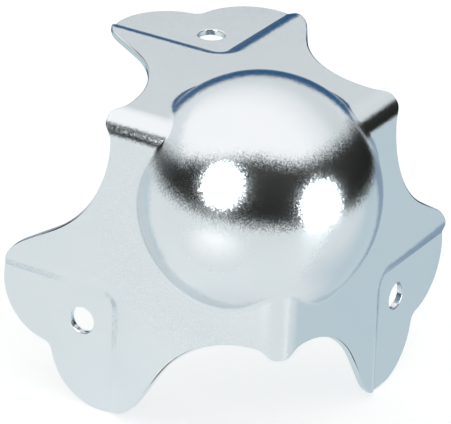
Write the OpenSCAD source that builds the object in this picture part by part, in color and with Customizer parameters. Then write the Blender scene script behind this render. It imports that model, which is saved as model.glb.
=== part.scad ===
// Ball corner for a flight case, pressed from one piece of sheet steel.
// The origin is the corner where the three panels of the case meet: the case fills -X, +Y and -Z.
// The front flange faces -Y, the right flange faces +X and the top flange faces +Z.

/* [Sheet] */
// Thickness of the sheet steel
sheet = 1.2; // [0.8:0.1:1.6]

/* [Ball] */
// Outside radius of the ball
ball_r = 22.2; // [21:0.1:24]
// Depth of the ball's centre below the outer faces of the flanges
ball_depth = 15.2; // [13.5:0.1:15.5]
// Outside radius of the fillet at the ball's foot
foot_fillet = 2.5; // [1.5:0.5:4]

/* [Ridges] */
// Outside radius of the ridge where two flanges meet
ridge_r = 5; // [4:0.5:6]
// Length of a ridge, from the flanges' outer corner to the end of its sides
ridge_length = 37.4; // [35:0.1:40]
// Radius of the round nose at the end of a ridge
nose_r = 4.5; // [4:0.1:5]
// How far the nose stands past the sides of the ridge
nose_reach = 1.3; // [0.8:0.1:2]
// How far the flanges are cut back beside the end of a ridge
ridge_relief = 0.4; // [0.3:0.1:1]

/* [Step] */
// Depth of the step, the thickness of the case's edging
step_depth = 1.3; // [1:0.1:2]
// Distance of the step's lower line from the flanges' outer corner
step_line = 37; // [34:0.5:40]
// Slope of the step
step_slope = 25; // [20:1:32]
// Outside radius of the bend at the top of the step
upper_bend_r = 6; // [4:0.5:8]
// Outside radius of the bend at the bottom of the step
lower_bend_r = 0.6; // [0.4:0.1:1]
// Radius of the corner where the two legs of the step meet
step_corner_r = 2; // [1:0.5:4]

/* [Tips] */
// Distance of a rivet hole's centre from the step's lower line
hole_setback = 6.3; // [5.5:0.1:8]
// Diameter of a rivet hole
hole_d = 5; // [3.5:0.1:5.5]
// Radius of the two round lobes of a tip
lobe_r = 10.9; // [10:0.1:12]
// How far the lobes' common middle lies past the hole, along each edge
lobe_lead = 1.2; // [0.5:0.1:2]
// How far each lobe's centre lies from that middle, along each edge
lobe_spread = 5.3; // [4.5:0.1:6]
// Radius of the hollow between the lobes
notch_r = 2; // [1:0.5:4]
// Radius of the waist between a ridge and a lobe
waist_r = 24.5; // [22:0.5:26]
// Height of the small shoulder where the waist starts
waist_shoulder = 0.3; // [0.1:0.1:1]
// Clear distance between the circles of a waist and a lobe
waist_gap = 0.85; // [0.4:0.05:1.5]

/* [Hidden] */
$fn = 96;
bend_parts = 6;
ball_inner_r = ball_r - sheet;
pole_tilt = acos((ball_depth - 1.3 * sheet) / ball_r);
cover = sheet + step_depth;
hole_reach = step_line + hole_setback;
lobe_mid = hole_reach + lobe_lead;
lobe = [lobe_mid - lobe_spread, lobe_mid + lobe_spread];
notch = lobe_mid + sqrt((lobe_r + notch_r) ^ 2 / 2 - lobe_spread ^ 2);
flange_cut = ridge_length - ridge_relief;
waist_height = flange_cut + waist_shoulder + waist_r;
waist = [lobe[0] - sqrt((waist_r + lobe_r + waist_gap) ^ 2 - (waist_height - lobe[1]) ^ 2), waist_height];
shoulder_at = ridge_r + 2 * waist_shoulder;
tip_end = lobe[1] + lobe_r;
bend_run = (upper_bend_r + lower_bend_r) * sin(step_slope);
bend_drop = (upper_bend_r + lower_bend_r) * (1 - cos(step_slope));
step_run = bend_run + (step_depth - bend_drop) / tan(step_slope);
step_centre = step_line + step_corner_r;

// Lines and fillets that touch a round are sunk a hair into it
sink = 0.02;

// The straight line that joins a waist to a lobe is their common tangent
waist_to_lobe = lobe - waist;
tangent_lean = acos((waist_r + lobe_r - 2 * sink) / norm(waist_to_lobe));
tangent_angle = atan2(waist_to_lobe[1], waist_to_lobe[0]) - tangent_lean;
tangent_way = [cos(tangent_angle), sin(tangent_angle)];
waist_touch = waist + (waist_r - sink) * tangent_way;
lobe_touch = lobe - (lobe_r - sink) * tangent_way;

// The fillet at the ball's foot rolls on a flange and on the ball
fillet_height = foot_fillet - sink;
fillet_at = sqrt((ball_r + fillet_height) ^ 2 - (ball_depth + fillet_height) ^ 2);
fillet_gap = acos((ball_depth - ridge_r) / fillet_at);

function swapped(p) = [p[1], p[0]];
function arc(centre, r, from, to) =
    [for (i = [0:bend_parts]) centre + r * [cos(from + (to - from) * i / bend_parts),
                                            sin(from + (to - from) * i / bend_parts)]];

// Places its children on each of the three flanges in turn
module on_each_flange() {
    children();
    rotate([90, 0, 90]) children();
    rotate([90, 0, 90]) rotate([90, 0, 90]) children();
}

// Flat shapes are drawn in distances from the outer corner along the two edges
module mirror_twin() {
    children();
    mirror([1, -1]) children();
}

// Outline of one flange: fish tail with two lobes, a notch between them and two waists
module flange_outline() {
    difference() {
        union() {
            polygon([
                [ridge_r, ridge_r], [ridge_r, flange_cut], [shoulder_at, flange_cut],
                [shoulder_at, flange_cut + 2 * waist_shoulder], waist_touch, lobe_touch, lobe,
                swapped(lobe), swapped(lobe_touch), swapped(waist_touch),
                [flange_cut + 2 * waist_shoulder, shoulder_at], [flange_cut, shoulder_at],
                [flange_cut, ridge_r]]);
            mirror_twin() translate(lobe) circle(r = lobe_r);
            polygon([lobe, [notch, notch], swapped(lobe)]);
        }
        mirror_twin() translate(waist) circle(r = waist_r);
        translate([notch, notch]) circle(r = notch_r);
    }
}

// Section of the stepped sheet: distance from the step's corner centre, height above the outer face
module step_section(reach) {
    low = step_corner_r;
    high = low + step_run;
    low_centre = [low, lower_bend_r - step_depth];
    high_centre = [high, -upper_bend_r];
    outer = concat(arc(low_centre, lower_bend_r, -90, step_slope - 90),
                   arc(high_centre, upper_bend_r, step_slope + 90, 90));
    inner = concat(arc(high_centre, upper_bend_r - sheet, 90, step_slope + 90),
                   arc(low_centre, lower_bend_r + sheet, step_slope - 90, -90));
    polygon(concat([[0, -step_depth]], outer, [[reach, 0], [reach, -sheet]], inner, [[0, -cover]]));
}

// Endless sheet of one flange, cranked along a V with a round corner
module stepped_sheet() {
    span = tip_end - step_centre;
    across = step_centre - ridge_r;
    translate([-step_centre, -step_centre]) {
        translate([-span, 0, 0]) rotate([90, 0, 90]) linear_extrude(span) step_section(across);
        rotate([90, 0, 0]) linear_extrude(span) step_section(across);
        rotate_extrude(angle = 90) step_section(across * sqrt(2));
        translate([-span, -span, -cover]) cube([span, span, sheet]);
    }
}

module flange() {
    intersection() {
        stepped_sheet();
        translate([0, 0, -2 * cover]) rotate(180) linear_extrude(3 * cover) flange_outline();
    }
}

// Quarter round along one edge, its end cut straight with a round nose in the middle
module ridge() {
    end = ridge_length + nose_reach;
    intersection() {
        translate([-ridge_r, -ball_depth, -ridge_r]) rotate([90, 0, 0])
            linear_extrude(end - ball_depth) intersection() {
                difference() {
                    circle(r = ridge_r);
                    circle(r = ridge_r - sheet);
                }
                square(ridge_r);
            }
        rotate([0, 45, 0]) translate([0, 0, -2 * ridge_r]) linear_extrude(4 * ridge_r) {
            translate([-2 * ridge_r, -ridge_length]) square([4 * ridge_r, ridge_length]);
            translate([0, nose_r - end]) circle(r = nose_r);
        }
    }
}

// Square bar under one edge, with that edge rounded
module edge_bar(size, r) {
    translate([0, 0, -size]) linear_extrude(2 * size) {
        translate([-size, -size]) square([size - r, size]);
        translate([-size, -size]) square([size, size - r]);
        translate([-r, -r]) circle(r = r);
    }
}

// Space inside the three flanges, without the corner that the ball takes in
module case_space() {
    size = 3 * ball_r;
    difference() {
        translate([-sheet, -sheet, -sheet]) intersection() {
            edge_bar(size, ridge_r - sheet);
            rotate([90, 0, 90]) edge_bar(size, ridge_r - sheet);
            rotate([90, 0, 90]) rotate([90, 0, 90]) edge_bar(size, ridge_r - sheet);
        }
        ball_at() cube(size);
    }
}

module ball_at() {
    translate([-ball_depth, -ball_depth, -ball_depth]) children();
}

// Sphere of the ball, turned so that its poles lie behind the flanges
module ball_sphere(r) {
    ball_at() rotate([0, -pole_tilt, 45]) sphere(r = r);
}

module ball() {
    difference() {
        ball_sphere(ball_r);
        ball_sphere(ball_inner_r);
        case_space();
    }
}

// Fillet round the ball's foot on one flange, between the two ridges
module foot_ring() {
    ball_share = ball_r / (ball_r + fillet_height);
    on_flange = [fillet_at, 0];
    on_ball = [fillet_at * ball_share, (ball_depth + fillet_height) * ball_share - ball_depth];
    in_sheet = [sqrt(ball_r ^ 2 - ball_depth ^ 2), -sheet / 2];
    translate([-ball_depth, -ball_depth]) rotate(90 + fillet_gap)
        rotate_extrude(angle = 270 - 2 * fillet_gap) difference() {
            polygon([on_flange, on_ball, in_sheet]);
            translate([fillet_at, fillet_height]) circle(r = foot_fillet);
        }
}

module ball_corner() {
    color("lightsteelblue") rotate([0, 0, -90]) translate([cover, cover, cover]) {
        difference() {
            union() {
                difference() {
                    on_each_flange() {
                        flange();
                        ridge();
                    }
                    ball_sphere(ball_inner_r);
                }
                ball();
                on_each_flange() foot_ring();
            }
            on_each_flange() translate([-hole_reach, -hole_reach, -2 * cover]) cylinder(d = hole_d, h = 3 * cover);
        }
    }
}

ball_corner();
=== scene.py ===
from math import atan2, cos, hypot, pi, radians, sin, sqrt, tan

import bpy
import numpy as np
from bpy.props import FloatProperty, FloatVectorProperty, PointerProperty
from bpy.types import Operator, Panel, PropertyGroup
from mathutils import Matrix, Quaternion, Vector


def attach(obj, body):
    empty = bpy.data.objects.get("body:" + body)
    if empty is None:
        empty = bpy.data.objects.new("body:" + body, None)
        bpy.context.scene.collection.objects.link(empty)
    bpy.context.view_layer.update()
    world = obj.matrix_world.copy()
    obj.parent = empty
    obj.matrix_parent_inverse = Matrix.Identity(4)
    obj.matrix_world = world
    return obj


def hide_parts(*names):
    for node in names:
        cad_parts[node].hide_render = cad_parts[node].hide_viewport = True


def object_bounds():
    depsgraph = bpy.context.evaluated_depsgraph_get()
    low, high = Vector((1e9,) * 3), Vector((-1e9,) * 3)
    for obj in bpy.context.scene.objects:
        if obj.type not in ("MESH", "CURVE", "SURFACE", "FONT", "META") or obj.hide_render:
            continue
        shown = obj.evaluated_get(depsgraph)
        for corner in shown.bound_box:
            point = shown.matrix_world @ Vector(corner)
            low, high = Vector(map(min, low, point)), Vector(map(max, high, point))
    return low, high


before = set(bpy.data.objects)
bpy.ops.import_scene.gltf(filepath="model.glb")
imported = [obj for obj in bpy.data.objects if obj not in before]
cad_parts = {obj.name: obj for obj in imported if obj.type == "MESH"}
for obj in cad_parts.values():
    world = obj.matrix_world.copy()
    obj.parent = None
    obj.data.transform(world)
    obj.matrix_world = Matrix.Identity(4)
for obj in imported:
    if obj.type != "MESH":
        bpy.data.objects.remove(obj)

bl_info = {
    "name": "Case Ball Corner",
    "version": (1, 0, 0),
    "blender": (4, 5, 0),
    "location": "View3D > Sidebar > Ball Corner",
    "description": "Builds a pressed, zinc-plated ball corner for a flight case and a stage to show it on",
    "category": "Add Mesh",
}

CAD_BOX = [list(corner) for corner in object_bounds()]
MM = 0.001

# Ways from the outer corner into the case along its three edges
INWARD = np.array([(-1.0, 0.0, 0.0), (0.0, 1.0, 0.0), (0.0, 0.0, -1.0)])

# How many parts each zone of the sheet is divided into
RIDGE_COLUMNS = 7
WAIST_COLUMNS = 30
LEG_COLUMNS = 18
BEND_COLUMNS = 5
LOBE_COLUMNS = 26
FILLET_ROWS = 10
FLANGE_ROWS = 14
BEND_ROWS = 6
TIP_ROWS = 10
RIM_ROWS = 4

# Points of an outline's arcs, before they are spread evenly over its columns
WAIST_POINTS = 60
LOBE_POINTS = 120
NOTCH_POINTS = 30


def linear(hex_colour):
    """Linear RGB of an sRGB hex colour."""
    parts = [int(hex_colour[i:i + 2], 16) / 255 for i in (1, 3, 5)]
    return tuple(c / 12.92 if c <= 0.04045 else ((c + 0.055) / 1.055) ** 2.4 for c in parts)


def length(name, description, millimetres):
    """A length property with its default given in millimetres."""
    return FloatProperty(name=name, description=description, default=millimetres * MM,
                         min=0.0, precision=5, unit="LENGTH")


def shade_of(name, description, hex_colour):
    """A colour property with its default given as sRGB hex."""
    return FloatVectorProperty(name=name, description=description, default=linear(hex_colour),
                               size=3, min=0, max=1, subtype="COLOR")


class BallCornerSizes(PropertyGroup):
    """Sizes of the pressed sheet, measured from the flanges' outer corner."""
    sheet: length("Sheet", "Thickness of the sheet steel", 1.2)
    ball_radius: length("Ball Radius", "Outside radius of the ball", 22.2)
    ball_depth: length("Ball Depth", "Depth of the ball's centre below each flange", 15.2)
    foot_fillet: length("Foot Fillet", "Radius where the ball runs into a flange", 2.5)
    crest_fillet: length("Crest Fillet", "Radius where the ball runs into a ridge", 1.5)
    ridge_radius: length("Ridge Radius", "Outside radius of the ridge between two flanges", 5.0)
    waist_start: length("Waist Start", "Distance of a waist from the outer corner, at the ridge", 37.3)
    nose_reach: length("Nose Reach", "How far a ridge's round nose stands past the waists", 1.7)
    nose_top: length("Nose Top", "Half width of the nose at its end, measured round the ridge", 0.8)
    nose_width: length("Nose Width", "Half width of the nose at its root, measured round the ridge", 4.2)
    waist_radius: length("Waist Radius", "Radius of the hollow between a ridge and a lobe", 24.5)
    step_depth: length("Step Depth", "Depth of the step down to the tip", 1.3)
    step_line: length("Step Line", "Distance of the step's lower line from the outer corner", 37.0)
    step_slope: FloatProperty(name="Step Slope", description="Slope of the step",
                              default=radians(25), subtype="ANGLE")
    upper_bend: length("Upper Bend", "Outside radius of the bend at the top of the step", 6.0)
    lower_bend: length("Lower Bend", "Outside radius of the bend at the bottom of the step", 0.6)
    step_corner: length("Step Corner", "Radius of the corner where the step's legs meet", 2.0)
    hole_reach: length("Hole Reach", "Distance of a rivet hole from the outer corner, along each edge", 43.3)
    hole_diameter: length("Hole Diameter", "Diameter of a rivet hole", 5.0)
    lobe_radius: length("Lobe Radius", "Radius of the round lobes of a tip", 10.9)
    lobe_near: length("Lobe Near", "Smaller distance of a lobe's centre from the outer corner", 39.2)
    lobe_far: length("Lobe Far", "Larger distance of a lobe's centre from the outer corner", 49.8)
    notch_radius: length("Notch Radius", "Radius of the hollow between the lobes", 2.0)
    edge_round: length("Edge Round", "Radius of the sheared edge on the outside", 0.3)
    burr_round: length("Burr Round", "Radius of the sheared edge on the inside", 0.15)


class BallCornerFinish(PropertyGroup):
    """Colours and grain of the plating, and colours of the stage."""
    zinc: shade_of("Zinc", "Colour of the bright zinc plate", "#D6DDE0")
    passivate: shade_of("Passivate", "Faint blue where the passivation is thicker", "#D0DADF")
    grain: length("Grain", "Size of the plating's grain, drawn coarser than it is", 0.2)
    floor: shade_of("Floor", "Colour of the floor", "#F4F4F2")
    curtain: shade_of("Curtain", "Colour of the dark curtain that the ball mirrors", "#15150F")
    far_wall: shade_of("Far Wall", "Colour of the low wall behind the part", "#255985")
    mat: shade_of("Mat", "Colour of the mat on the floor behind the part", "#D8E4EA")
    # Painted contact shadow: colour of the strip on the floor close behind the part, which the flanges' steps
    # mirror
    shade: shade_of("Shade", "Colour of the mat close behind the part", "#93A7BC")


def steps(count):
    """Even steps from 0 to 1."""
    return np.linspace(0.0, 1.0, count + 1)


def ease(x):
    """Smooth rise from 0 to 1."""
    x = np.clip(x, 0.0, 1.0)
    return x * x * (3 - 2 * x)


def along(points, count):
    """The polyline's points spread evenly over its length."""
    points = np.asarray(points)
    run = np.concatenate([[0], np.cumsum(np.linalg.norm(np.diff(points, axis=0), axis=1))])
    places = steps(count) * run[-1]
    return np.stack([np.interp(places, run, points[:, k]) for k in range(points.shape[1])], axis=1)


def arc(centre, radius, start, end, count):
    """Points on a plane arc between two angles."""
    a = start + (end - start) * steps(count)
    return np.stack([centre[0] + radius * np.cos(a), centre[1] + radius * np.sin(a)], axis=1)


def unit(vectors):
    """Vectors scaled to length 1."""
    return vectors / np.linalg.norm(vectors, axis=-1, keepdims=True)


def flat(points, depth=0.0):
    """Plane points of a flange laid at one depth below its outer face."""
    points = np.asarray(points)
    return np.concatenate([points, np.full(points.shape[:-1] + (1,), depth)], axis=-1)


def step_profile(s):
    """Rows across the step, from its upper line to its lower one.

    Each row gives its distance past the centre of the step's corner, its depth and its lean.
    """
    slope, high, low = s.step_slope, s.upper_bend, s.lower_bend
    run = (high + low) * sin(slope) + (s.step_depth - (high + low) * (1 - cos(slope))) / tan(slope)
    lean = slope * steps(BEND_ROWS)
    upper = [(s.step_corner + run - high * sin(a), high * (1 - cos(a)), a) for a in lean]
    lower = [(s.step_corner + low * sin(a), s.step_depth - low * (1 - cos(a)), a) for a in lean[::-1]]
    return np.array(upper + lower)


def lobe_edge(s, u):
    """Height of the lobe's upper side at a distance u from the ridge's edge."""
    return s.lobe_far + np.sqrt(s.lobe_radius ** 2 - (u - s.lobe_near) ** 2)


def waist_outline(s, last_u):
    """Half outline of a flange from the ridge to the step: waist, tangent line, lobe."""
    lobe = np.array((s.lobe_near, s.lobe_far))
    waist = np.array((s.ridge_radius, s.waist_start + s.waist_radius))
    gap = lobe - waist
    way = atan2(gap[1], gap[0]) - np.arccos((s.waist_radius + s.lobe_radius) / hypot(*gap))
    lobe_end = atan2(lobe_edge(s, last_u) - lobe[1], last_u - lobe[0])
    hollow = arc(waist, s.waist_radius, -pi / 2, way, WAIST_POINTS)
    return np.concatenate([hollow, arc(lobe, s.lobe_radius, way + pi, lobe_end, WAIST_POINTS)])


def lobe_outline(s):
    """Half outline of a tip from the step's lower line round the lobe to the middle of the notch."""
    lobe = np.array((s.lobe_near, s.lobe_far))
    middle = (s.lobe_near + s.lobe_far) / 2
    spread = (s.lobe_far - s.lobe_near) / 2
    notch = middle + sqrt((s.lobe_radius + s.notch_radius) ** 2 / 2 - spread ** 2)
    start = atan2(lobe_edge(s, s.step_line) - lobe[1], s.step_line - lobe[0])
    touch = atan2(notch - lobe[1], notch - lobe[0])
    hollow = arc((notch, notch), s.notch_radius, touch - pi, -3 * pi / 4, NOTCH_POINTS)
    return np.concatenate([arc(lobe, s.lobe_radius, start, touch, LOBE_POINTS), hollow[1:]])


def nose(s, across):
    """How far the sheet stands past the waist, at a distance round the ridge from its crest."""
    return s.nose_reach * ease((s.nose_width - across) / (s.nose_width - s.nose_top))


def foot(s):
    """Where the ball's fillet meets the sheet in half a flange, from the crest of the ridge on.

    Gives the points, the fillet's way out of the sheet there, its centres and its radii.
    """
    D, R, r = s.ball_depth, s.ball_radius, s.ridge_radius
    turn = pi / 4 * (1 - steps(RIDGE_COLUMNS))
    # The fillet grows from the crest's radius to the foot's, by the first share on the ridge itself
    spread = s.foot_fillet - s.crest_fillet
    crest_share, growth = 0.35, radians(40)
    fillet = s.crest_fillet + spread * crest_share * ease(1 - turn / (pi / 4))
    normal = np.stack([-np.sin(turn), 0 * turn, -np.cos(turn)], axis=1)
    side = np.stack([r - r * np.sin(turn), 0 * turn, r - r * np.cos(turn)], axis=1)
    middle = side + fillet[:, None] * normal
    height = D + np.sqrt((R + fillet) ** 2 - (middle[:, 0] - D) ** 2 - (middle[:, 2] - D) ** 2)
    side[:, 1] = height
    middle[:, 1] = height

    start = atan2(height[-1] - D, r - D)
    waist_end = radians(63)
    angle = np.concatenate([start + (waist_end - start) * steps(WAIST_COLUMNS),
                            waist_end + (pi / 4 - waist_end) * steps(LEG_COLUMNS + BEND_COLUMNS)[1:]])
    share = crest_share + (1 - crest_share) * ease((start - angle) / growth)
    foot_radius = s.crest_fillet + spread * share
    reach = np.sqrt((R + foot_radius) ** 2 - (D + foot_radius) ** 2)
    plane = np.stack([D + reach * np.cos(angle), D + reach * np.sin(angle)], axis=1)
    down = np.tile((0.0, 0.0, -1.0), (len(angle), 1))
    points = np.concatenate([side, flat(plane)[1:]])
    normals = np.concatenate([normal, down[1:]])
    radii = np.concatenate([fillet, foot_radius[1:]])
    return points, normals, points + radii[:, None] * normals, radii


def ball_cap(s, ring):
    """Part of the ball inside its fillet, on one flange's third: a net from the ball's pole to the ring."""
    centre = np.full(3, s.ball_depth)
    twin = ring[:, (1, 0, 2)]
    pole = centre - s.ball_radius * np.ones(3) / sqrt(3)
    x = steps(len(ring) - 1)[:, None, None]
    y = np.swapaxes(x, 0, 1)
    near, far = ring[None, :, :], twin[:, None, :]
    spoke_x = pole + (ring[0] - pole) * x
    spoke_y = pole + (twin[0] - pole) * y
    corners = (1 - x) * (1 - y) * pole + x * (1 - y) * ring[0] + (1 - x) * y * twin[0] + x * y * ring[-1]
    net = (1 - y) * spoke_x + y * far + (1 - x) * spoke_y + x * near - corners
    normals = unit(net - centre)
    return centre + s.ball_radius * normals, normals


def half_flange(s):
    """Nets of the outer face from a ridge's crest to a flange's diagonal, each with its normals."""
    points, normals, middles, radii = foot(s)
    centre = np.full(3, s.ball_depth)
    ring = centre + (middles - centre) * (s.ball_radius / (s.ball_radius + radii))[:, None]

    # Fillet: from the ball down to the flange or ridge
    t = steps(FILLET_ROWS)[:, None, None]
    from_ball, from_sheet = unit(middles - ring), unit(normals)
    angle = np.arccos(np.clip((from_ball * from_sheet).sum(1), -1, 1))[None, :, None]
    facing = (np.sin((1 - t) * angle) * from_ball + np.sin(t * angle) * from_sheet) / np.sin(angle)
    nets = [(middles - radii[:, None] * facing, facing)]

    # Ridge and flange: from the fillet out to the waist and to the step's upper line
    profile = step_profile(s)
    bend_middle = s.step_line + s.step_corner
    upper_u = bend_middle - profile[0, 0]
    turn = pi / 4 * (1 - steps(RIDGE_COLUMNS))
    across = s.ridge_radius * (pi / 4 - turn)
    end = points[:RIDGE_COLUMNS + 1].copy()
    end[:, 1] = s.waist_start + nose(s, across)
    outline = along(waist_outline(s, upper_u), WAIST_COLUMNS)
    outline[:, 1] += nose(s, s.ridge_radius * pi / 4 + outline[:, 0] - s.ridge_radius)
    legs = []
    for past, depth, _ in profile:
        u = bend_middle - past
        top = lobe_edge(s, u)
        heights = top + (bend_middle - top) * steps(LEG_COLUMNS)
        straight = np.stack([np.full(LEG_COLUMNS + 1, u), heights], axis=1)
        bend = arc((bend_middle, bend_middle), past, pi, 5 * pi / 4, BEND_COLUMNS)
        legs.append(flat(np.concatenate([straight, bend[1:]]), depth))
    legs = np.array(legs)
    ends = np.concatenate([end, flat(outline)[1:], legs[0][1:]])
    t = steps(FLANGE_ROWS)[:, None, None]
    net = points + (ends - points) * t
    nets.append((net, np.broadcast_to(normals, net.shape)))

    # Step: rows across its two bends
    lean = profile[:, 2][:, None]
    heading = np.concatenate([np.zeros(LEG_COLUMNS + 1), pi / 4 * steps(BEND_COLUMNS)[1:]])[None, :]
    tilt = np.stack([np.sin(lean) * np.cos(heading), np.sin(lean) * np.sin(heading),
                     -np.cos(lean) * np.ones_like(heading)], axis=-1)
    nets.append((legs, tilt))

    # Tip: from the step's lower line and the lobe in to the hole
    edge = np.concatenate([legs[-1][::-1], flat(along(lobe_outline(s), LOBE_COLUMNS), s.step_depth)[1:]])
    hole = np.array((s.hole_reach, s.hole_reach))
    bearing = np.unwrap(np.arctan2(edge[:, 1] - hole[1], edge[:, 0] - hole[0]))
    bearing += 2 * pi * (bearing[0] < 0)
    even = 5 * pi / 4 - pi * steps(len(edge) - 1)
    bearing = (bearing + even) / 2
    round_hole = hole + s.hole_diameter / 2 * np.stack([np.cos(bearing), np.sin(bearing)], axis=1)
    crowding = 0.8
    t = (steps(TIP_ROWS) ** crowding)[:, None, None]
    tip = edge + (flat(round_hole, s.step_depth) - edge) * t
    nets.append((tip, np.broadcast_to((0.0, 0.0, -1.0), tip.shape)))
    return nets, ring


def outer_face(s):
    """The whole outer face as welded vertices, normals and quads, seen from outside."""
    nets, ring = half_flange(s)
    places = [((0, 1, 2), nets), ((1, 0, 2), nets), ((2, 1, 0), nets),
              ((1, 2, 0), nets), ((2, 0, 1), nets), ((0, 2, 1), nets)]
    cap = [ball_cap(s, ring)]
    places += [((0, 1, 2), cap), ((1, 2, 0), cap), ((2, 0, 1), cap)]
    corner = np.array((1.0, -1.0, 1.0)) * (s.sheet + s.step_depth)
    vertices, normals, quads = [], [], []
    count = 0
    for axes, group in places:
        for points, facing in group:
            rows, columns = points.shape[:2]
            index = count + np.arange(rows * columns).reshape(rows, columns)
            quads.append(np.stack([index[:-1, :-1], index[1:, :-1], index[1:, 1:], index[:-1, 1:]],
                                  axis=-1).reshape(-1, 4))
            vertices.append(corner + points.reshape(-1, 3)[:, axes] @ INWARD)
            normals.append(np.asarray(facing).reshape(-1, 3)[:, axes] @ INWARD)
            count += rows * columns
    vertices, normals, quads = (np.concatenate(x) for x in (vertices, normals, quads))
    weld = 1e-6
    _, first, same = np.unique(np.round(vertices / weld).astype(np.int64), axis=0,
                               return_index=True, return_inverse=True)
    quads = same.reshape(-1)[quads]
    vertices, normals = vertices[first], unit(normals[first])
    diagonal = vertices[quads[:, 2]] - vertices[quads[:, 0]]
    other = vertices[quads[:, 3]] - vertices[quads[:, 1]]
    turned = (np.cross(diagonal, other) * normals[quads].sum(1)).sum(1) < 0
    quads[turned] = quads[turned][:, ::-1]
    return vertices, normals, quads


def sheet_mesh(s):
    """Closed mesh of the sheet: outer face, inner face and the rounded rims that join them."""
    vertices, normals, quads = outer_face(s)
    sides = np.concatenate([quads[:, (k, (k + 1) % 4)] for k in range(4)])
    paired = set(map(tuple, sides[:, ::-1].tolist()))
    rim = np.array([side for side in map(tuple, sides.tolist()) if side not in paired])
    tangent = np.zeros_like(vertices)
    for end in (0, 1):
        np.add.at(tangent, rim[:, end], unit(vertices[rim[:, 1]] - vertices[rim[:, 0]]))
    edge = np.unique(rim)
    out = unit(np.cross(tangent[edge], normals[edge]))
    base, up = vertices[edge], normals[edge]

    angle = pi / 2 * steps(RIM_ROWS)
    rows = [(s.edge_round * (sin(a) - 1), s.edge_round * (1 - cos(a)), sin(a), cos(a)) for a in angle]
    rows += [(s.burr_round * (cos(a) - 1), s.sheet - s.burr_round * (1 - sin(a)), cos(a), -sin(a))
             for a in angle]
    outside, inside = vertices.copy(), vertices - s.sheet * normals
    outside[edge] = base + rows[0][0] * out
    inside[edge] = base + rows[-1][0] * out - s.sheet * up
    count = len(vertices)
    place = np.zeros(count, int)
    place[edge] = np.arange(len(edge))
    all_points, all_normals = [outside, inside], [normals, -normals]
    ids = [edge]
    for k, (past, depth, outward, upward) in enumerate(rows[1:-1]):
        all_points.append(base + past * out - depth * up)
        all_normals.append(outward * out + upward * up)
        ids.append(2 * count + k * len(edge) + np.arange(len(edge)))
    ids.append(count + edge)
    faces = [quads, count + quads[:, ::-1]]
    a, b = place[rim[:, 0]], place[rim[:, 1]]
    for upper, lower in zip(ids, ids[1:]):
        faces.append(np.stack([upper[b], upper[a], lower[a], lower[b]], axis=1))
    return np.concatenate(all_points), np.concatenate(all_normals), np.concatenate(faces)


def add_node(tree, kind, settings=None, links=None):
    """Adds a node with its settings; links maps an input to a value or to another node's output."""
    node = tree.nodes.new(kind)
    for name, value in (settings or {}).items():
        setattr(node, name, value)
    for name, value in (links or {}).items():
        if isinstance(value, bpy.types.NodeSocket):
            tree.links.new(value, node.inputs[name])
        else:
            node.inputs[name].default_value = value
    return node


def new_material(name):
    """An empty node material and its tree."""
    material = bpy.data.materials.new(name)
    material.use_nodes = True
    material.node_tree.nodes.clear()
    return material, material.node_tree


# Size of the passivation's clouds, how far a facet of the grain leans, and the plate's roughness
CLOUD_SIZE = 9 * MM
GRAIN_LEAN = 0.07
SMOOTHEST, ROUGHEST = 0.16, 0.19


def zinc_plate(f):
    """Bright zinc electroplated on cold-rolled steel, passivated blue.

    The plate mirrors softly; its fine grain breaks the edge of a reflection into specks,
    and the passivation leaves faint cool clouds. The real grain is a few micrometres wide
    and is drawn coarser, so that it shows.
    """
    material, tree = new_material("bright zinc plate, electroplated and blue passivated")
    place = add_node(tree, "ShaderNodeTexCoord").outputs["Object"]
    clouds = add_node(tree, "ShaderNodeTexNoise",
                      links={"Vector": place, "Scale": 1 / CLOUD_SIZE, "Detail": 3.0})
    tint = add_node(tree, "ShaderNodeMix", {"data_type": "RGBA"},
                    {"Factor": clouds.outputs["Fac"], "A": (*f.zinc, 1), "B": (*f.passivate, 1)})
    grain = add_node(tree, "ShaderNodeTexVoronoi", links={"Vector": place, "Scale": 1 / f.grain})
    lean = add_node(tree, "ShaderNodeVectorMath", {"operation": "MULTIPLY_ADD"},
                    {0: grain.outputs["Color"], 1: [GRAIN_LEAN] * 3, 2: [-GRAIN_LEAN / 2] * 3})
    facing = add_node(tree, "ShaderNodeNewGeometry").outputs["Normal"]
    tilted = add_node(tree, "ShaderNodeVectorMath", {"operation": "ADD"},
                      {0: facing, 1: lean.outputs["Vector"]})
    facet = add_node(tree, "ShaderNodeVectorMath", {"operation": "NORMALIZE"}, {0: tilted.outputs["Vector"]})
    rough = add_node(tree, "ShaderNodeMapRange",
                     links={"Value": clouds.outputs["Fac"], "To Min": SMOOTHEST, "To Max": ROUGHEST})
    shader = add_node(tree, "ShaderNodeBsdfPrincipled",
                      links={"Base Color": tint.outputs["Result"], "Metallic": 1.0,
                             "Roughness": rough.outputs["Result"], "Normal": facet.outputs["Vector"]})
    add_node(tree, "ShaderNodeOutputMaterial", links={"Surface": shader.outputs["BSDF"]})
    return material


def link_object(name, data):
    """A new object in the scene."""
    thing = bpy.data.objects.new(name, data)
    bpy.context.scene.collection.objects.link(thing)
    return thing


def mesh_object(name, points, faces):
    """A new mesh object with smooth faces."""
    mesh = bpy.data.meshes.new(name)
    mesh.from_pydata(np.asarray(points).tolist(), [], np.asarray(faces).tolist())
    mesh.shade_smooth()
    return link_object(name, mesh)


class BALLCORNER_OT_shell(Operator):
    """Build the pressed sheet with its ball, flanges, ridges, steps and rivet holes"""
    bl_idname = "ballcorner.shell"
    bl_label = "Pressed Shell"

    def execute(self, context):
        sizes, finish = context.scene.ball_corner_sizes, context.scene.ball_corner_finish
        points, normals, faces = sheet_mesh(sizes)
        shell = mesh_object("pressed_shell", points, faces)
        shell.data.normals_split_custom_set_from_vertices(unit(normals).tolist())
        shell.data.materials.append(zinc_plate(finish))
        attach(shell, "root")
        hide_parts("ball_corner")
        return {"FINISHED"}


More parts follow.
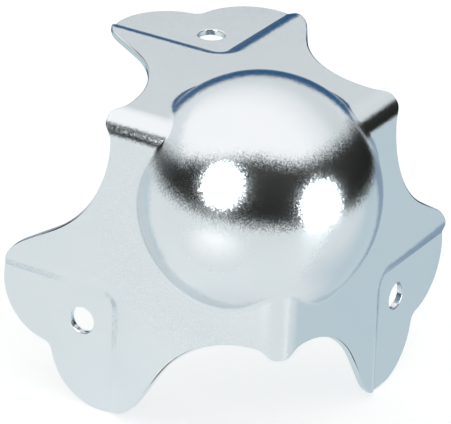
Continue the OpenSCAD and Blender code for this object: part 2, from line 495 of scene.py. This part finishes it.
# Stage: lengths in metres, angles in degrees; bearing 0 lies in front of the part and 90 to its right
WORLD_LIGHT = 0.5
FLOOR_HALF = 6.0
FLOOR_ROUGHNESS, FLOOR_SHEEN, FLOOR_LIFT = 0.4, 0.1, 0.46

# Bearing, elevation of foot and head, distance
CURTAIN = [(-98, -3, 4, 0.40), (-85, -3, 12, 0.40), (-60, -3, 22, 0.38), (-40, -3, 35, 0.36),
           (0, -3, 53, 0.33), (30, -6, 57, 0.33), (60, -8, 51, 0.33), (90, -9, 41, 0.33),
           (120, -10, 36, 0.33), (150, -12, 24, 0.28), (180, -14, 4, 0.26)]
CURTAIN_FADE = 5.0
CURTAIN_FADED_ROWS = 2
FAR_WALL = [(bearing, -8, high, 0.41) for bearing, high in
            ((-178, 4), (-165, 13), (-150, 15), (-135, 13), (-120, 6), (-105, 4), (-96, 4))]

# Mats that lie on the floor, as pairs of points; the one behind is white along its right and near edges; the
# strip close behind the part is a painted contact shadow, tinted blue
CARD_LIFT = 0.5 * MM
MAT_BEHIND_LINES = [((0.035, -0.005), (0.5, 0.08)), ((0.012, 0.012), (0.25, 0.4)),
                    ((-0.3, 0.0), (-0.05, 0.4))]
MAT_BEHIND_ROWS = (0, 0.06, 1)
MAT_LEFT = [((-0.06, -0.005), (-0.4, -0.02)), ((-0.06, 0.1), (-0.4, 0.2))]
PAINTED_SHADOW_MAT = [((-0.06, 0.04), (-0.002, 0.04)), ((-0.06, 0.25), (0.056, 0.25))]
DARK_MAT = [((-0.03, 0.1), (-0.1, 0.42)), ((-0.1, 0.08), (-0.38, 0.2))]

# Lamps: bearing, elevation, distance, radius; a pool of light is painted on the floor where the left one
# would throw it
LEFT_LAMP = (-10, 25, 0.29, 0.104)
RIGHT_LAMP = (91, 4, 0.29, 0.108)
ROUND_PARTS = 24
LAMP_GLOW = 4.5
POOL_MIDDLE, POOL_HALF = (-0.024, -0.135), (0.065, 0.1)
POOL_RINGS = (0.0, 0.3, 1.0)
PAINTED_POOL_GLOW = (1.5, 1.42, 1.38)

# Ceiling: warm overhead, cool and dimmer from there to the far end
CEILING_HEIGHT, CEILING_HALF = 0.75, 1.6
WARM, COOL = (1.36, 1.28, 1.27), (0.9, 0.9, 0.9)
CEILING = [(-1.1, WARM), (0.2, WARM), (1.2, COOL), (3.0, COOL)]
CEILING_LIGHT_SIZE, CEILING_LIGHT_LEVEL, CEILING_LIGHT_Y = (2.4, 1.6), 0.2, -0.2

CAMERA_AIM = Vector((-0.0072, -0.0080, -0.0066))
CAMERA_BEARING, CAMERA_ELEVATION, CAMERA_ROLL = 30.8, 25.9, 2.2
CAMERA_AWAY, CAMERA_FAR = 0.662, 20.0
CAMERA_LENS, CAMERA_SENSOR = 305.7, 36.0


def seen_directly(tree):
    """1 for rays from the camera and for mirrored or see-through ones, 0 for light on the part."""
    path = add_node(tree, "ShaderNodeLightPath").outputs
    mirrored = add_node(tree, "ShaderNodeMath", {"operation": "MAXIMUM"},
                        {0: path["Is Glossy Ray"], 1: path["Is Transmission Ray"]})
    return add_node(tree, "ShaderNodeMath", {"operation": "MAXIMUM"},
                    {0: path["Is Camera Ray"], 1: mirrored.outputs[0]}).outputs[0]


def way_to(bearing, elevation):
    """Unit vector from the part towards a bearing and an elevation."""
    b, e = radians(bearing), radians(elevation)
    return Vector((sin(b) * cos(e), -cos(b) * cos(e), sin(e)))


def white_world(scene):
    """White surroundings that light the part at a lower level than they show."""
    world = bpy.data.worlds.new("white studio")
    scene.world = world
    world.use_nodes = True
    tree = world.node_tree
    tree.nodes.clear()
    level = add_node(tree, "ShaderNodeMapRange",
                     links={"Value": seen_directly(tree), "To Min": WORLD_LIGHT, "To Max": 1.0})
    sky = add_node(tree, "ShaderNodeBackground",
                   links={"Color": (1, 1, 1, 1), "Strength": level.outputs["Result"]})
    add_node(tree, "ShaderNodeOutputWorld", links={"Surface": sky.outputs["Background"]})


def table_laminate(colour):
    """Pressed white laminate: even and pale, with a faint sheen, lifted to white where it is seen."""
    material, tree = new_material("white table laminate, pressed")
    lift = add_node(tree, "ShaderNodeMath", {"operation": "MULTIPLY"},
                    {0: seen_directly(tree), 1: FLOOR_LIFT})
    shader = add_node(tree, "ShaderNodeBsdfPrincipled",
                      links={"Base Color": (*colour, 1), "Roughness": FLOOR_ROUGHNESS,
                             "Specular IOR Level": FLOOR_SHEEN, "Emission Color": (1, 1, 1, 1),
                             "Emission Strength": lift.outputs[0]})
    add_node(tree, "ShaderNodeOutputMaterial", links={"Surface": shader.outputs["BSDF"]})
    return material


def table_floor(colour, ground):
    """Plain pale floor under the part."""
    corners = [(x * FLOOR_HALF, y * FLOOR_HALF, ground) for x, y in ((-1, -1), (1, -1), (1, 1), (-1, 1))]
    floor = mesh_object("floor", corners, [(0, 1, 2, 3)])
    floor.data.materials.append(table_laminate(colour))


def studio_card():
    """Painted card and lamp cloth: each shines evenly in the colours laid at its points."""
    material, tree = new_material("studio card, painted and evenly lit")
    shade = add_node(tree, "ShaderNodeAttribute", {"attribute_name": "shade"}).outputs["Color"]
    shader = add_node(tree, "ShaderNodeEmission", links={"Color": shade})
    add_node(tree, "ShaderNodeOutputMaterial", links={"Surface": shader.outputs["Emission"]})
    return material


def card(name, material, pairs, colours):
    """A strip of card that only mirrors see, from pairs of points with a colour for each point."""
    points = [point for pair in pairs for point in pair]
    faces = [(k, k + 2, k + 3, k + 1) for k in range(0, len(points) - 2, 2)]
    thing = mesh_object(name, points, faces)
    shade = thing.data.attributes.new("shade", "FLOAT_COLOR", "POINT")
    shade.data.foreach_set("color", [c for colour in colours for c in (*colour, 1)])
    thing.data.materials.append(material)
    for ray in ("camera", "diffuse", "transmission", "shadow", "volume_scatter"):
        setattr(thing, "visible_" + ray, False)


def standing(bearing, low, high, away):
    """Foot and head of a card that stands round the part."""
    b = radians(bearing)
    return [(away * sin(b), -away * cos(b), away * tan(radians(e))) for e in (low, high)]


def lying(pairs, height):
    """Pairs of plane points laid flat at one height."""
    return [[(*point, height) for point in pair] for pair in pairs]


def lamp_disc(bearing, elevation, away, radius):
    """Pairs of points of a round lamp that faces the part, from one side to the other."""
    way = way_to(bearing, elevation)
    turn = way.to_track_quat("Z", "Y")
    return [[away * way + radius * (turn @ Vector((cos(a), side * sin(a), 0))) for side in (-1, 1)]
            for a in pi * steps(ROUND_PARTS)]


def grey(level):
    """White light of one strength."""
    return (level, level, level)


def dark_curtain(cloth, dark):
    """Curtain round the front and the right, soft at hem and head and faded at its left end."""
    white, faded = grey(1.0), grey(0.12)
    hem, drop, head = [], [], []
    for bearing, low, high, away in CURTAIN:
        middle = (low + high) / 2
        bottom, top = min(low + CURTAIN_FADE, middle), max(high - CURTAIN_FADE, middle)
        hem.append(standing(bearing, low - CURTAIN_FADE, bottom, away))
        drop.append(standing(bearing, bottom, top, away))
        head.append(standing(bearing, top, high + CURTAIN_FADE, away))
    tones = [faded] * CURTAIN_FADED_ROWS + [dark] * (len(CURTAIN) - CURTAIN_FADED_ROWS)
    card("curtain", cloth, drop, [tone for tone in tones for _ in range(2)])
    card("curtain_hem", cloth, hem, [c for tone in tones for c in (white, tone)])
    card("curtain_head", cloth, head, [c for tone in tones for c in (tone, white)])


def floor_mats(cloth, finish, ground):
    """Mats on the floor behind the part and to its left, which cool the flanges, and a painted contact shadow
    on the floor close behind the part.
    """
    white, mat = grey(1.0), tuple(finish.mat)
    height = ground + CARD_LIFT
    right, middle, left = MAT_BEHIND_LINES
    for name, first, second, tint in (("mat_right", right, middle, white), ("mat_behind", middle, left, mat)):
        pairs = [[Vector(near).lerp(far, t) for near, far in (first, second)] for t in MAT_BEHIND_ROWS]
        card(name, cloth, lying(pairs, height), [white, white, tint, mat, tint, mat])
    card("mat_left", cloth, lying(MAT_LEFT, height), [mat] * 4)
    # Painted contact shadow of the part on the floor close behind it, tinted blue
    card("shade", cloth, lying(PAINTED_SHADOW_MAT, height + CARD_LIFT), [tuple(finish.shade)] * 4)
    card("dark_mat", cloth, lying(DARK_MAT, height + CARD_LIFT), [tuple(finish.far_wall)] * 4)


def lamps(cloth, ground):
    """Two round lamps, and the pool of light painted on the floor where the left one would throw it."""
    sides = 2 * (ROUND_PARTS + 1)
    card("left_lamp", cloth, lamp_disc(*LEFT_LAMP), [grey(LAMP_GLOW)] * sides)
    card("right_lamp", cloth, lamp_disc(*RIGHT_LAMP), [grey(LAMP_GLOW)] * sides)
    # Painted pool of light: a glowing card on the floor, seen only in the metal
    circle = [(cos(a), sin(a)) for a in 2 * pi * steps(ROUND_PARTS)]
    rings = [[[middle + half * r * c for middle, half, c in zip(POOL_MIDDLE, POOL_HALF, point)]
              for point in circle] for r in POOL_RINGS]
    height = ground + 2 * CARD_LIFT
    card("lamp_pool", cloth, lying(zip(rings[0], rings[1]), height), [PAINTED_POOL_GLOW] * sides)
    card("lamp_pool_edge", cloth, lying(zip(rings[1], rings[2]), height),
         [PAINTED_POOL_GLOW, grey(1.0)] * (sides // 2))


def bright_ceiling(cloth):
    """The ceiling that the ball mirrors, and the soft light that it throws on the floor."""
    card("ceiling", cloth, [[(-CEILING_HALF, y, CEILING_HEIGHT), (CEILING_HALF, y, CEILING_HEIGHT)]
                            for y, _ in CEILING], [colour for _, colour in CEILING for _ in range(2)])
    light = bpy.data.lights.new("ceiling_light", "AREA")
    light.shape = "RECTANGLE"
    light.size, light.size_y = CEILING_LIGHT_SIZE
    light.energy = CEILING_LIGHT_LEVEL * pi * light.size * light.size_y
    box = link_object("ceiling_light", light)
    box.location = (0, CEILING_LIGHT_Y, CEILING_HEIGHT)
    box.visible_camera = False
    box.visible_glossy = False


def photo_camera(scene):
    """Camera at the photograph's viewing angle."""
    camera = bpy.data.cameras.new("camera")
    camera.lens = CAMERA_LENS
    camera.sensor_width = CAMERA_SENSOR
    camera.clip_end = CAMERA_FAR
    eye = link_object("camera", camera)
    way = way_to(CAMERA_BEARING, CAMERA_ELEVATION)
    eye.location = CAMERA_AIM + way * CAMERA_AWAY
    roll = Quaternion((0, 0, 1), radians(CAMERA_ROLL))
    eye.rotation_euler = (way.to_track_quat("Z", "Y") @ roll).to_euler()
    scene.camera = eye


class BALLCORNER_OT_stage(Operator):
    """Set the floor, the lamps, the cards that the metal mirrors, the world and the camera"""
    bl_idname = "ballcorner.stage"
    bl_label = "Photo Stage"

    def execute(self, context):
        scene = context.scene
        finish = scene.ball_corner_finish
        ground = CAD_BOX[0][2]
        scene.view_settings.view_transform = "Standard"
        white_world(scene)
        table_floor(finish.floor, ground)
        cloth = studio_card()
        dark_curtain(cloth, tuple(finish.curtain))
        card("far_wall", cloth, [standing(*row) for row in FAR_WALL],
             [tuple(finish.far_wall)] * 2 * len(FAR_WALL))
        floor_mats(cloth, finish, ground)
        lamps(cloth, ground)
        bright_ceiling(cloth)
        photo_camera(scene)
        return {"FINISHED"}


class BALLCORNER_PT_tools(Panel):
    """Lists what the ball corner is made of"""
    bl_idname = "BALLCORNER_PT_tools"
    bl_label = "Ball Corner"
    bl_space_type = "VIEW_3D"
    bl_region_type = "UI"
    bl_category = "Ball Corner"

    def draw(self, context):
        layout = self.layout
        for group in (context.scene.ball_corner_sizes, context.scene.ball_corner_finish):
            column = layout.column(align=True)
            for name in group.__annotations__:
                column.prop(group, name)
        for operator in OPERATORS:
            layout.operator(operator.bl_idname)


GROUPS = (BallCornerSizes, BallCornerFinish)
OPERATORS = (BALLCORNER_OT_shell, BALLCORNER_OT_stage)
CLASSES = GROUPS + OPERATORS + (BALLCORNER_PT_tools,)


def register():
    for cls in CLASSES:
        bpy.utils.register_class(cls)
    bpy.types.Scene.ball_corner_sizes = PointerProperty(type=BallCornerSizes)
    bpy.types.Scene.ball_corner_finish = PointerProperty(type=BallCornerFinish)


def unregister():
    del bpy.types.Scene.ball_corner_finish
    del bpy.types.Scene.ball_corner_sizes
    for cls in reversed(CLASSES):
        bpy.utils.unregister_class(cls)


def main():
    register()
    bpy.ops.ballcorner.shell()
    bpy.ops.ballcorner.stage()


if __name__ == "__main__":
    main()
